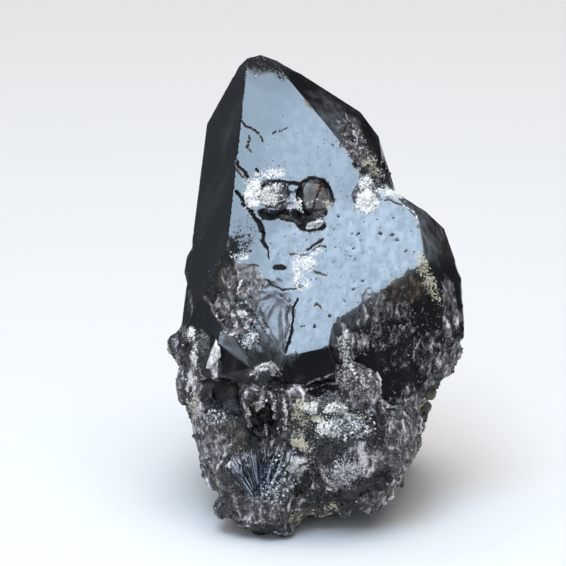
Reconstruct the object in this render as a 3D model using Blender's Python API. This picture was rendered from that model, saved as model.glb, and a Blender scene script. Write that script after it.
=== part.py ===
"""Dark amethyst cluster: parallel-grown quartz crystals on a lumpy matrix, grown together as one
solid, standing on its flat-cut base. Metres, +Z up, the broad mirror face looks towards -Y, and the
origin is under the middle of the cluster, on the surface that it stands on."""

import math

import bpy
import bmesh
from mathutils import Matrix, Vector, noise

MM = 0.001

# The crystals grew parallel: one long axis, leaning towards -X, and one turn about it, in degrees
LEAN = 13.0
TWIST = 2.0
# A quartz tip face's normal stands this far above the horizontal of its axis
RHOMB = 38.2

# Where the main faces lie: points that they pass through, in millimetres
MIRROR = (-0.9, -18.0, 36.1)
RIDGE = (-11.2, 18.1, 80.8)
LEFT_EDGE = (-15.1, 2.4, 59.7)
RIGHT_EDGE = (-0.9, 10.8, 73.2)
SHOULDER = (7.7, 0.9, 62.0)
MIRROR_RIGHT = (15.5, -3.2, 58.3)
MIRROR_TIP = (18.6, -7.4, 53.4)
BROKEN_EDGE = (3.7, -14.8, 41.1)
BROKEN_CORNER = (-16.2, -4.6, 50.5)

# The middle of the finished cluster, which is moved over the origin
MIDDLE = (-0.198, 4.123)

ROCK_VOXEL = 1.0
ROCK_TRIANGLES = 6400
# How boxy the swells of the matrix are: 1 is an egg, less is squarer
ROCK_POWER = 0.82
# Long and fine waves, and tilted plates, that roughen the matrix: size and height of each
WAVES = ((12.0, 1.1), (5.5, 0.8))
PLATES = ((6.5, 0.42), (3.0, 0.36))
BLOCK_SIDE = 200.0

AMETHYST = (0.030, 0.024, 0.036, 1.0)
AMETHYST_ROUGHNESS = 0.25


def broken(azimuth, elevation, point):
    """A break or a contact, as (outward normal, point). Azimuth 0 faces -Y and 90 faces +X."""
    a = math.radians(azimuth)
    e = math.radians(elevation)
    normal = Vector((math.sin(a) * math.cos(e), -math.cos(a) * math.cos(e), math.sin(e)))
    return normal, point


def grown(azimuth, elevation, point):
    """A crystal face: the same, measured from the crystals' own leaning axis."""
    lean = Matrix.Rotation(math.radians(-LEAN), 3, "Y")
    return lean @ broken(azimuth + TWIST, elevation, point)[0], point


def object_from(name, bm):
    mesh = bpy.data.meshes.new(name)
    bm.to_mesh(mesh)
    bm.free()
    obj = bpy.data.objects.new(name, mesh)
    bpy.context.scene.collection.objects.link(obj)
    return obj


def cut(bm, normal, point):
    """Takes away what lies beyond a plane and closes the cut."""
    whole = bm.verts[:] + bm.edges[:] + bm.faces[:]
    done = bmesh.ops.bisect_plane(
        bm, geom=whole, plane_co=Vector(point) * MM, plane_no=normal, clear_outer=True
    )
    rim = [g for g in done["geom_cut"] if isinstance(g, bmesh.types.BMEdge)]
    if rim:
        bmesh.ops.holes_fill(bm, edges=rim)


def crystal(name, faces):
    """A convex block bounded by the faces."""
    bm = bmesh.new()
    bmesh.ops.create_cube(bm, size=BLOCK_SIDE * MM)
    for normal, point in faces:
        cut(bm, normal, point)
    bmesh.ops.remove_doubles(bm, verts=bm.verts, dist=0.01 * MM)
    bmesh.ops.recalc_face_normals(bm, faces=bm.faces)
    return object_from(name, bm)


def add_lump(bm, centre, radii, turn, detail=4, power=ROCK_POWER, waves=0.12, grain=0.45):
    """A swelling: centre and radii in millimetres, turned about the viewing axis, a little uneven."""
    ball = bmesh.ops.create_icosphere(bm, subdivisions=detail, radius=1.0)
    spin = Matrix.Rotation(math.radians(turn), 3, "Y")
    for vert in ball["verts"]:
        place = vert.co.copy()
        swell = 1.0 + waves * noise.noise(place / grain + Vector(centre))
        shape = [math.copysign(abs(p) ** power, p) * r * swell for p, r in zip(place, radii)]
        vert.co = (spin @ Vector(shape) + Vector(centre)) * MM


def cutter(name, centre, radii, turn):
    """A rounder, coarser lump on its own, to hollow the others with."""
    bm = bmesh.new()
    add_lump(bm, centre, radii, turn, detail=3, power=0.9)
    return object_from(name, bm)


def apply_modifiers(obj):
    """Turns the object's modified shape into its own mesh."""
    graph = bpy.context.evaluated_depsgraph_get()
    mesh = bpy.data.meshes.new_from_object(obj.evaluated_get(graph))
    obj.modifiers.clear()
    obj.data = mesh


def combine(obj, others, operation):
    for other in others:
        step = obj.modifiers.new(other.name, "BOOLEAN")
        step.operation = operation
        step.object = other
        step.solver = "EXACT"
        step.use_self = True
        apply_modifiers(obj)
        bpy.data.objects.remove(other)


def plate_height(place, size, slope):
    """Tilted plates: each cell of a random mosaic slopes its own way, so that cells meet in small steps."""
    _, centres = noise.voronoi(place / size)
    offset = place / size - centres[0]
    seed = centres[0] * 5.3
    tilt = Vector([noise.noise(seed + Vector((shift, 0, 0))) for shift in (0.0, 17.0, 31.0)])
    return slope * size * offset.dot(tilt.normalized())


def crag(place):
    """How far the matrix stands out at a place, in millimetres."""
    height = sum(up * noise.noise(place / size) for size, up in WAVES)
    return height + sum(plate_height(place, size, slope) for size, slope in PLATES)


def fuse(obj, voxel):
    """One even skin over everything in the object."""
    remesh = obj.modifiers.new("fuse", "REMESH")
    remesh.mode = "VOXEL"
    remesh.voxel_size = voxel * MM
    apply_modifiers(obj)


def matrix_rock():
    """The matrix: swells fused together, hollowed, roughened and thinned to flat chips."""
    # Centre, radii and turn of each swell, from the core to the front, then the right side
    swells = [
        ((0, 3, 16), (19, 16, 19), 0),
        ((1.5, 15.5, 13.5), (18.5, 13.5, 16), 0),
        ((-12.5, 11, 21), (9.0, 13, 15), -8),
        ((-18.4, -1, 25.5), (6.0, 11, 13), -6),
        ((-21.6, -5, 24.8), (3.8, 5, 4.6), 0),
        ((-12.6, -4, 12.5), (7.8, 11.5, 12.5), -16),
        ((-8.7, -10.5, 11.2), (9.8, 9.5, 12.0), 0),
        ((-7.2, -12.0, 23.6), (7.3, 8.0, 7.4), 0),
        ((3.5, -12.0, 18.5), (12.5, 9.0, 9.3), 8),
        ((4.5, -7.0, 9.5), (10.5, 9.5, 8.5), 0),
        ((7.4, -14.5, 28.2), (2.7, 2.4, 4.0), -12),
        ((12.3, -3.0, 18.6), (6.8, 11.0, 12), 8),
        ((12.0, 10.0, 16.0), (8.0, 12.0, 12.0), 0),
        ((15.0, 9.0, 26.5), (7.8, 12.0, 9.5), 0),
        ((19.2, 1.0, 31.8), (6.0, 9.0, 7.0), 0),
        ((21.4, -5.5, 26.2), (1.8, 2.0, 1.8), 0),
        ((20.6, -5.0, 23.6), (1.7, 1.9, 1.7), 0),
    ]
    bm = bmesh.new()
    for centre, radii, turn in swells:
        add_lump(bm, centre, radii, turn)
    rock = object_from("matrix_rock", bm)
    fuse(rock, ROCK_VOXEL)
    combine(rock, hollows(), "DIFFERENCE")
    moves = [vert.normal * crag(vert.co / MM) * MM for vert in rock.data.vertices]
    for vert, move in zip(rock.data.vertices, moves):
        vert.co += move
    fuse(rock, ROCK_VOXEL)
    rock.data.calc_loop_triangles()
    thin = rock.modifiers.new("thin", "DECIMATE")
    thin.ratio = ROCK_TRIANGLES / len(rock.data.loop_triangles)
    apply_modifiers(rock)
    return rock


def main_crystal():
    """The tall one: mirror face, its neighbours round the tip, the prism faces, then the breaks."""
    return crystal(
        "main_crystal",
        [
            grown(0, RHOMB, MIRROR),
            grown(-59, 36.5, LEFT_EDGE),
            grown(60, 42, RIGHT_EDGE),
            grown(180, RHOMB, RIDGE),
            grown(-120, RHOMB, (-17.0, 20.3, 72.5)),
            grown(120, RHOMB, (0.5, 17.9, 75.4)),
            grown(57, 0, SHOULDER),
            grown(-118, 0, (-20.8, 14.4, 60.0)),
            grown(120, 0, (11.7, 13.5, 66.5)),
            grown(180, 0, (0, 23.8, 50.0)),
            grown(-60, 0, (-18.1, -14.9, 38.9)),
            grown(0, 0, MIRROR),
            broken(90, 63, (-9.6, 18.0, 80.8)),
            broken(88, 45, (8.6, 11.0, 71.4)),
            broken(85, 18, (10.3, 10.5, 70.0)),
            broken(-34, 19, BROKEN_CORNER),
            broken(0, -60, (0, -18.0, 23.0)),
            broken(80, -40, (18.0, 5.0, 31.0)),
            grown(0, -80, (0, 0, 10.0)),
        ],
    )


def right_crystal():
    """The shoulder: its top is level with the mirror face, and its front is broken."""
    return crystal(
        "right_crystal",
        [
            grown(0, RHOMB, (-0.9, -17.9, 35.85)),
            grown(60, 44, MIRROR_RIGHT),
            grown(66, 12, MIRROR_TIP),
            grown(120, RHOMB, (19.0, 0.0, 56.6)),
            grown(112, 0, (24.0, 3.0, 48.0)),
            broken(95, -3, (26.2, 0, 40.0)),
            broken(17.5, 0, BROKEN_EDGE),
            broken(80, -40, (24.6, 0, 31.0)),
            grown(180, 5, (10.0, 18.0, 40.0)),
            grown(-90, 0, (0.0, 0.0, 40.0)),
            grown(0, -80, (0, 0, 18.0)),
        ],
    )


def back_right_crystal():
    """The lower crystal behind the shoulder, parallel to the main one."""
    return crystal(
        "back_right_crystal",
        [
            grown(0, RHOMB, (10, 6, 58)),
            grown(60, RHOMB, (19, 12, 52)),
            grown(120, RHOMB, (17, 18, 52)),
            grown(180, RHOMB, (9, 22, 54)),
            grown(-60, RHOMB, (2, 12, 58)),
            grown(-120, RHOMB, (1, 17, 58)),
            grown(60, 0, (20, 12, 40)),
            grown(120, 0, (20, 17, 40)),
            grown(180, 0, (10, 26.0, 40)),
            grown(-120, 0, (-2, 20, 40)),
            grown(0, 0, (10, -2, 40)),
            broken(80, -45, (19.5, 12, 27)),
            grown(0, -80, (0, 0, 16)),
        ],
    )


def back_left_crystal():
    """The lowest crystal of the far side, on the left."""
    return crystal(
        "back_left_crystal",
        [
            grown(0, RHOMB, (-14, 10, 52)),
            grown(-60, RHOMB, (-21, 14, 46)),
            grown(-120, RHOMB, (-20, 20, 47)),
            grown(180, RHOMB, (-12, 23.5, 48)),
            grown(120, RHOMB, (-4, 20, 50)),
            grown(-60, 0, (-22, 12, 36)),
            grown(-120, 0, (-21, 19, 36)),
            grown(180, 0, (-12, 26.8, 36)),
            grown(120, 0, (-3, 22, 36)),
            grown(0, 0, (-12, 4, 40)),
            grown(0, -80, (0, 0, 12)),
        ],
    )


def small_crystals():
    """Slim six-sided crystals, parallel to the others, on the far side and on the left."""
    # Name, tip, radius and height of the foot
    places = [
        ("small_middle", (1.5, 25.0, 43.0), 3.9, 10.0),
        ("small_low", (-3.6, 27.0, 34.0), 2.7, 10.0),
        ("small_right", (9.6, 23.8, 34.0), 3.3, 12.0),
        ("small_left", (-21.4, 9.0, 41.5), 2.9, 14.0),
    ]
    made = []
    for name, tip, radius, foot in places:
        faces = [grown(0, -80, (0, 0, foot))]
        for side in range(6):
            outward, _ = grown(60 * side, 0, tip)
            # The tip faces are uneven, so that they meet in a short ridge
            back_off = 0.35 * radius if side % 3 else 0.0
            faces.append(grown(60 * side, RHOMB, Vector(tip) + outward * back_off))
            faces.append(grown(60 * side, 0, Vector(tip) + outward * radius))
        made.append(crystal(name, faces))
    return made


def corner_crystal():
    """The small dark crystal below the broken corner of the mirror face."""
    return crystal(
        "corner_crystal",
        [
            grown(0, RHOMB, (-15.2, -11.0, 36.8)),
            grown(-60, RHOMB, (-17.6, -11.5, 35.6)),
            broken(-28, 4, (-15.0, -13.4, 34.5)),
            grown(-75, 0, (-18.2, -12.0, 33.0)),
            grown(60, 0, (-9.2, -15.5, 33.0)),
            grown(180, 0, (-14.0, -2.0, 32.0)),
            grown(0, -80, (0, 0, 18.0)),
        ],
    )


def pocket_crystal():
    """The stubby crystal that stands in the pocket of the mirror face."""
    return crystal(
        "pocket_crystal",
        [
            broken(8, 33, (-0.2, 0.2, 59.0)),
            broken(95, 12, (2.1, 0.6, 58.5)),
            broken(35, 66, (-0.2, 1.2, 60.9)),
            broken(-70, 30, (-2.9, 0.8, 59.2)),
            broken(10, -28, (0.0, -0.6, 56.6)),
            broken(180, 0, (0.0, 6.0, 58.0)),
        ],
    )


def hollows():
    """The voids in the front of the matrix."""
    return [
        cutter("hollow_left", (-16.4, -17.0, 25.6), (3.9, 7.0, 4.2), 14),
        cutter("hollow_front", (-9.9, -21.0, 23.4), (3.4, 7.0, 5.0), -10),
        cutter("hollow_upper", (-7.6, -21.0, 29.6), (2.6, 3.6, 1.9), -15),
    ]


def pocket():
    """The parts of the pocket in the mirror face."""
    return [
        cutter("pocket_left", (-8.0, 0.4, 60.6), (3.3, 2.6, 3.0), 0),
        cutter("pocket_right", (-0.4, -0.4, 60.0), (3.6, 2.6, 3.4), 0),
        cutter("pocket_low", (-3.2, -2.0, 57.4), (5.4, 1.9, 1.9), 8),
    ]


def stand_on_floor(obj):
    """Cuts the base flat at height 0 and moves the cluster's middle over the origin."""
    below = bmesh.new()
    bmesh.ops.create_cube(below, size=BLOCK_SIDE * MM)
    bmesh.ops.translate(below, verts=below.verts, vec=Vector((0, 0, -BLOCK_SIDE / 2)) * MM)
    combine(obj, [object_from("below_floor", below)], "DIFFERENCE")
    bm = bmesh.new()
    bm.from_mesh(obj.data)
    bmesh.ops.triangulate(bm, faces=bm.faces)
    bmesh.ops.translate(bm, verts=bm.verts, vec=Vector((-MIDDLE[0], -MIDDLE[1], 0)) * MM)
    bm.to_mesh(obj.data)
    bm.free()


def give_material(obj):
    material = bpy.data.materials.new("amethyst")
    material.use_nodes = True
    shader = material.node_tree.nodes["Principled BSDF"]
    shader.inputs["Base Color"].default_value = AMETHYST
    shader.inputs["Roughness"].default_value = AMETHYST_ROUGHNESS
    obj.data.materials.clear()
    obj.data.materials.append(material)


def main():
    for old in list(bpy.data.objects):
        bpy.data.objects.remove(old)
    cluster = main_crystal()
    neighbours = [right_crystal(), back_right_crystal(), back_left_crystal(), corner_crystal()]
    combine(cluster, neighbours + small_crystals(), "UNION")
    combine(cluster, hollows() + pocket(), "DIFFERENCE")
    combine(cluster, [pocket_crystal(), matrix_rock()], "UNION")
    stand_on_floor(cluster)
    give_material(cluster)
    cluster.name = "amethyst_cluster"


main()
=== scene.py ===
"""Looks of the dark amethyst cluster: mirror-bright and slate crystal faces, frosted breaks, a crusted
and glassy matrix, and the small growths on it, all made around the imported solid. Metres, +Z up."""

import math

import bmesh
import bpy
import numpy as np
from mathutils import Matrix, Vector, noise
from mathutils.bvhtree import BVHTree


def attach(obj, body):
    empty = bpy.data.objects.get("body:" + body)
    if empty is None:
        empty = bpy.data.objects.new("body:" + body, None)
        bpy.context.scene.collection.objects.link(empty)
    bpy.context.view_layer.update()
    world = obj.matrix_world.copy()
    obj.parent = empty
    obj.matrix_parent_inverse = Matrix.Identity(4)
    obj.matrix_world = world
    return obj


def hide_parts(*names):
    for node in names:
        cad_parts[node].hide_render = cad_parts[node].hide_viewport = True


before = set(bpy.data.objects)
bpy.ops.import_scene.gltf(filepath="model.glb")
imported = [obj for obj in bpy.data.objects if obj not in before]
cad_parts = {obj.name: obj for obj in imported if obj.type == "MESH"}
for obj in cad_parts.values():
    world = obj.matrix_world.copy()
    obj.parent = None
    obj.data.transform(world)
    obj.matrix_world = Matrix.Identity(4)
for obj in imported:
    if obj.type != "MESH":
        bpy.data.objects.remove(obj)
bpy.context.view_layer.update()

NODE = "amethyst_cluster"
BODY = "root"
MM = 0.001

# The photograph's camera: its frame, the size of a pixel at the aim, and where it stands
PHOTO_SIDE = 566
PIXEL = 0.182 * MM
CAMERA_DISTANCE = 500 * MM
CAMERA_ELEVATION = math.radians(18)
AIM = Vector((-5.802, -4.123, 42.8)) * MM
SENSOR = 36.0
BACK = Vector((0, -math.cos(CAMERA_ELEVATION), math.sin(CAMERA_ELEVATION)))
UP = Vector((0, math.sin(CAMERA_ELEVATION), math.cos(CAMERA_ELEVATION)))
RIGHT = Vector((1, 0, 0))
CAMERA_PLACE = AIM + BACK * CAMERA_DISTANCE
FOCAL_PIXELS = CAMERA_DISTANCE / PIXEL

# A flat area of the solid larger than FACE_AREA, in square millimetres, is a crystal face; above
# CLEAR_HEIGHT, where no matrix reaches, SMALL_FACE_AREA is enough
FACE_AREA = 9.0
SMALL_FACE_AREA = 1.2
CLEAR_HEIGHT = 46 * MM
# Edge lengths of the fine skin, in millimetres: at the front's details, on the front's matrix and
# crystal faces, and on those behind
DETAIL_EDGE = 0.38
ROCK_EDGE = 0.47
FACE_EDGE = 0.85
FAR_ROCK_EDGE = 1.0
FAR_FACE_EDGE = 2.4
# Along the edges of the crystals, in front and behind, and along the cracks drawn on their faces
CREASE_EDGE = 0.42
FAR_CREASE_EDGE = 0.85
CRACK_EDGE = 0.27
# How far beside a crack, in pixels, those fine edges reach
CRACK_BAND = 2
# An edge is halved when it is longer than its wanted length by this factor
EDGE_SLACK = 1.3
# Points of the solid closer together than this, in millimetres, are one
WELD = 0.002
TINY = 1e-15

WHITE = (0.76, 0.73, 0.69, 1)
CREAM = (0.52, 0.46, 0.34, 1)


def photo_point(px, py):
    """The direction from the camera through a pixel of the photograph."""
    half = PHOTO_SIDE / 2
    aim = AIM + RIGHT * (px - half) * PIXEL + UP * (half - py) * PIXEL
    return (aim - CAMERA_PLACE).normalized()


def photo_places(co):
    """Where points land in the photograph, as two arrays of pixels."""
    rel = co - np.array(CAMERA_PLACE)
    depth = -(rel @ np.array(BACK))
    px = PHOTO_SIDE / 2 + (rel @ np.array(RIGHT)) / depth * FOCAL_PIXELS
    py = PHOTO_SIDE / 2 - (rel @ np.array(UP)) / depth * FOCAL_PIXELS
    return px, py


def noise_at(co, size, seed):
    """Smooth noise from -1 to 1 at each point; size is in millimetres."""
    shift = Vector((seed, seed * 1.7, -seed))
    scale = 1 / (size * MM)
    return np.array([noise.noise(Vector(p) * scale + shift) for p in co])


def plates_at(co, size, seed=0.0):
    """A mosaic of tilted plates at each point, about -1 to 1: chips that meet in small steps."""
    shift = Vector((seed, -seed, seed * 0.6))
    scale = 1 / (size * MM)
    found = []
    for p in co:
        place = Vector(p) * scale + shift
        centre = noise.voronoi(place)[1][0]
        seed_place = centre * 5.3
        tilt = Vector([noise.noise(seed_place + Vector((k, 0, 0))) for k in (0.0, 17.0, 31.0)])
        found.append((place - centre).dot(tilt.normalized()) * 1.5)
    return np.array(found)


def step(value, low, high):
    """0 below low, 1 above high, and smooth between."""
    t = np.clip((value - low) / (high - low), 0, 1)
    return t * t * (3 - 2 * t)


def edge_vectors(co, tri):
    """Each triangle's first corner, and its edges from there to the other two."""
    a, b, c = (co[tri[:, k]] for k in range(3))
    return a, b - a, c - a


def across(co, tri):
    """A vector along each triangle's normal, twice its area long."""
    _, first, second = edge_vectors(co, tri)
    return np.cross(first, second)


def unit(vectors):
    return vectors / np.maximum(np.linalg.norm(vectors, axis=1), TINY)[:, None]


def triangle_sides(tri):
    """The two ends of each side of each triangle, three rows for each, lower number first."""
    return np.sort(tri[:, [0, 1, 1, 2, 2, 0]].reshape(-1, 2), axis=1)


def summed(corners, vectors, count):
    """The sum, for each point or edge, of the vectors of the triangles that meet there."""
    total = np.zeros((count, 3))
    for k in range(3):
        np.add.at(total, corners[:, k], vectors)
    return total


def face_range(corners, face, count):
    """The lowest and highest flat face that meet at each point or edge."""
    lowest = np.full(count, 10**9)
    highest = np.full(count, -1)
    for k in range(3):
        np.minimum.at(lowest, corners[:, k], face)
        np.maximum.at(highest, corners[:, k], face)
    return lowest, highest


class Solid:
    """The CAD node's own surface: welded points, triangles, the flat face each lies on, and a tree."""

    def __init__(self, name):
        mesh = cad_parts[name].data
        mesh.calc_loop_triangles()
        co = np.array([v.co for v in mesh.vertices])
        tri = np.array([t.vertices for t in mesh.loop_triangles])
        keys, first, same = np.unique(
            np.round(co / (WELD * MM)).astype(np.int64), axis=0, return_index=True, return_inverse=True
        )
        self.co = co[first]
        self.tri = same.reshape(-1)[tri]
        self.tri = self.tri[np.linalg.norm(across(self.co, self.tri), axis=1) > 100 * TINY]
        doubled = across(self.co, self.tri)
        normal = unit(doubled)
        corner = self.co[self.tri[:, 0]]
        area = np.linalg.norm(doubled, axis=1) / 2
        self.face = self.flat_faces(normal, (normal * corner).sum(1), area, corner[:, 2])
        self.tree = BVHTree.FromPolygons(
            [Vector(p) for p in self.co], self.tri.tolist(), all_triangles=True
        )

    @staticmethod
    def flat_faces(normal, offset, area, height):
        """Numbers the triangles by the plane they lie in, and gives 0 to those of the rough matrix."""
        key = np.column_stack([np.round(normal * 60), np.round(offset / (0.25 * MM))]).astype(int)
        _, group = np.unique(key, axis=0, return_inverse=True)
        group = group.reshape(-1)
        total = np.bincount(group, area) / MM**2
        least = np.where(height > CLEAR_HEIGHT, SMALL_FACE_AREA, FACE_AREA)
        return np.where(total[group] > least, group + 1, 0)

    def hit(self, pixel):
        """The point and normal that the photograph shows at a pixel."""
        return self.tree.ray_cast(CAMERA_PLACE, photo_point(*pixel))[:2]


def line_distance(px, py, points):
    """How far places of the photograph lie from a broken line, in pixels."""
    place = np.column_stack([px, py])
    nearest = np.full(len(place), 1e9)
    for start, end in zip(points[:-1], points[1:]):
        start, end = np.array(start, float), np.array(end, float)
        run = end - start
        t = np.clip(((place - start) @ run) / (run @ run), 0, 1)
        nearest = np.minimum(nearest, np.linalg.norm(place - start - t[:, None] * run, axis=1))
    return nearest


def split_long(co, tri, face, wanted):
    """Halves the edges longer than wanted(middle, normal, flat, crease), longest edge first."""
    edges, of = np.unique(triangle_sides(tri), axis=0, return_inverse=True)
    of = of.reshape(-1, 3)
    ends = co[edges]
    length = np.linalg.norm(ends[:, 0] - ends[:, 1], axis=1)
    middle = ends.mean(1)
    normal = summed(of, unit(across(co, tri)), len(edges))
    lowest, highest = face_range(of, face, len(edges))
    cut = length > wanted(middle, normal, lowest > 0, (lowest > 0) & (lowest != highest))
    longest = length[of].argmax(1)
    rows = np.arange(len(tri))
    while True:
        late = cut[of].any(1) & ~cut[of[rows, longest]]
        if not late.any():
            break
        cut[of[late, longest[late]]] = True
    new_index = np.full(len(edges), -1)
    new_index[cut] = len(co) + np.arange(cut.sum())
    turn = (longest[:, None] + np.arange(3)) % 3
    v0, v1, v2 = np.take_along_axis(tri, turn, 1).T
    m0, m1, m2 = new_index[np.take_along_axis(of, turn, 1)].T
    whole = m0 < 0
    parts = [
        (whole, v0, v1, v2),
        (~whole & (m2 < 0), v0, m0, v2),
        (~whole & (m2 >= 0), v0, m0, m2),
        (~whole & (m2 >= 0), m2, m0, v2),
        (~whole & (m1 < 0), m0, v1, v2),
        (~whole & (m1 >= 0), m0, v1, m1),
        (~whole & (m1 >= 0), m0, m1, v2),
    ]
    triangles = np.concatenate([np.column_stack(p)[w] for w, *p in parts])
    faces = np.concatenate([face[w] for w, *_ in parts])
    return np.concatenate([co, middle[cut]]), triangles, faces, bool(cut.any())


class Skin:
    """The fine skin: points, triangles, and for each point its normal, its place in the photograph,
    whether the camera sees it, and how far it belongs to the rough matrix."""

    def __init__(self, solid):
        self.solid = solid
        co, tri, face = solid.co, solid.tri, solid.face
        more = True
        while more:
            co, tri, face, more = split_long(co, tri, face, self.wanted)
        self.co, self.tri, self.face = co, tri, face
        self.edges = np.unique(triangle_sides(tri), axis=0)
        self.rock = np.ones(len(co))
        self.rock[tri[face > 0].ravel()] = 0
        self.rim = self.crease_points()
        self.base = co[:, 2] < 0.02 * MM
        self.soften_rock()
        self.normal = self.normals()
        self.px, self.py = photo_places(self.co)
        self.seen = self.visible()
        self.near_seen = self.spread(self.seen, 5)
        self.ragged = 0.5 * noise_at(self.co, 4.0, 7.0)
        self.ragged += 0.5 * noise_at(self.co, 1.5, 3.0) + 0.3 * noise_at(self.co, 0.6, 9.0)
        self.wander_x = self.px + 2.2 * noise_at(self.co, 2.0, 31.0) + 1.0 * noise_at(self.co, 0.7, 32.0)
        self.wander_y = self.py + 2.2 * noise_at(self.co, 2.0, 33.0) + 1.0 * noise_at(self.co, 0.7, 34.0)

    @staticmethod
    def wanted(middle, normal, flat, crease):
        """The longest edge allowed at each place; flat says that it lies in crystal faces alone, and
        crease that it lies between two of them."""
        px, py = photo_places(middle)
        detail = np.zeros(len(middle), bool)
        for (cx, cy), (rx, ry) in DETAIL_AREAS:
            detail |= ((px - cx) / rx) ** 2 + ((py - cy) / ry) ** 2 < 1
        near = np.where(flat, FACE_EDGE, ROCK_EDGE)
        near[crease] = CREASE_EDGE
        near = np.where(detail, np.minimum(near, DETAIL_EDGE), near)
        far = np.where(flat, FAR_FACE_EDGE, FAR_ROCK_EDGE)
        far[crease] = FAR_CREASE_EDGE
        front = normal @ np.array(BACK) > -0.1
        face = np.flatnonzero(front & flat)
        for _, _, width, _, points in STROKES:
            beside = line_distance(px[face], py[face], points) < width + CRACK_BAND
            near[face[beside]] = CRACK_EDGE
        return np.where(front, near, far) * MM * EDGE_SLACK

    def crease_points(self):
        """Points where two crystal faces meet."""
        lowest, highest = face_range(self.tri, self.face, len(self.co))
        return (lowest != highest) & (lowest > 0)

    def spread(self, values, times):
        """Averages values with their neighbours', the given number of times."""
        a, b = self.edges.T
        count = np.bincount(self.edges.ravel(), minlength=len(self.co))
        for _ in range(times):
            total = np.bincount(a, values[b], len(self.co)) + np.bincount(b, values[a], len(self.co))
            values = 0.5 * values + 0.5 * total / count
        return values

    def soften_rock(self):
        """Rounds the matrix's chips off, and leaves the crystal faces and the flat base."""
        free = (self.rock > 0) & ~self.base
        for _ in range(4):
            moved = np.column_stack([self.spread(self.co[:, k], 1) for k in range(3)])
            self.co = np.where(free[:, None], moved, self.co)

    def normals(self):
        return unit(summed(self.tri, across(self.co, self.tri), len(self.co)))

    def visible(self):
        """1 where nothing stands between a point and the photograph's camera."""
        found = np.zeros(len(self.co))
        for i, (p, n) in enumerate(zip(self.co, self.normal)):
            to_camera = (CAMERA_PLACE - Vector(p)).normalized()
            if to_camera.dot(Vector(n)) > -0.05:
                start = Vector(p) + to_camera * 0.6 * MM
                found[i] = self.solid.tree.ray_cast(start, to_camera)[0] is None
        return found

    def reach(self, centre, radii, turn):
        """How far out each point lies in an ellipse of the photograph: 0 in its middle, 1 on its rim."""
        c, s = math.cos(math.radians(turn)), math.sin(math.radians(turn))
        dx, dy = self.px - centre[0], self.py - centre[1]
        return np.hypot((c * dx + s * dy) / radii[0], (-s * dx + c * dy) / radii[1])

    def spot(self, centre, radii, turn, ragged=0.5):
        """How far each point lies in a ragged ellipse of the photograph, given in pixels."""
        reach = self.reach(centre, radii, turn) + ragged * self.ragged
        return (1 - step(reach, 0.65, 1.35)) * self.seen

    def line(self, points, width):
        """How near each point lies to a broken line of the photograph, given in pixels."""
        reach = line_distance(self.wander_x, self.wander_y, points) / width + 0.6 * self.ragged
        return (1 - step(reach, 0.6, 1.3)) * self.seen

    def dome(self, centre, radii, turn):
        """A smooth hump over an ellipse of the photograph: 1 in its middle, and 0 from its rim on."""
        reach = self.reach(centre, radii, turn) + 0.15 * self.ragged
        return np.clip(1 - reach**2, 0, 1) ** 1.5 * self.near_seen

    def spots(self, places):
        """The strongest of several spots, each a centre, radii, a turn and a strength."""
        total = np.zeros(len(self.co))
        for centre, radii, turn, strength in places:
            total = np.maximum(total, strength * self.spot(centre, radii, turn))
        return total


# Ellipses of the photograph, as centre and radii in pixels, where the skin is finest
DETAIL_AREAS = [
    ((292, 202), (50, 36)),
    ((248, 205), (24, 62)),
    ((262, 133), (26, 14)),
    ((250, 310), (56, 72)),
    ((330, 285), (92, 62)),
    ((362, 165), (38, 58)),
    ((262, 66), (32, 16)),
    ((262, 470), (36, 44)),
    ((262, 408), (26, 32)),
]

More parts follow.
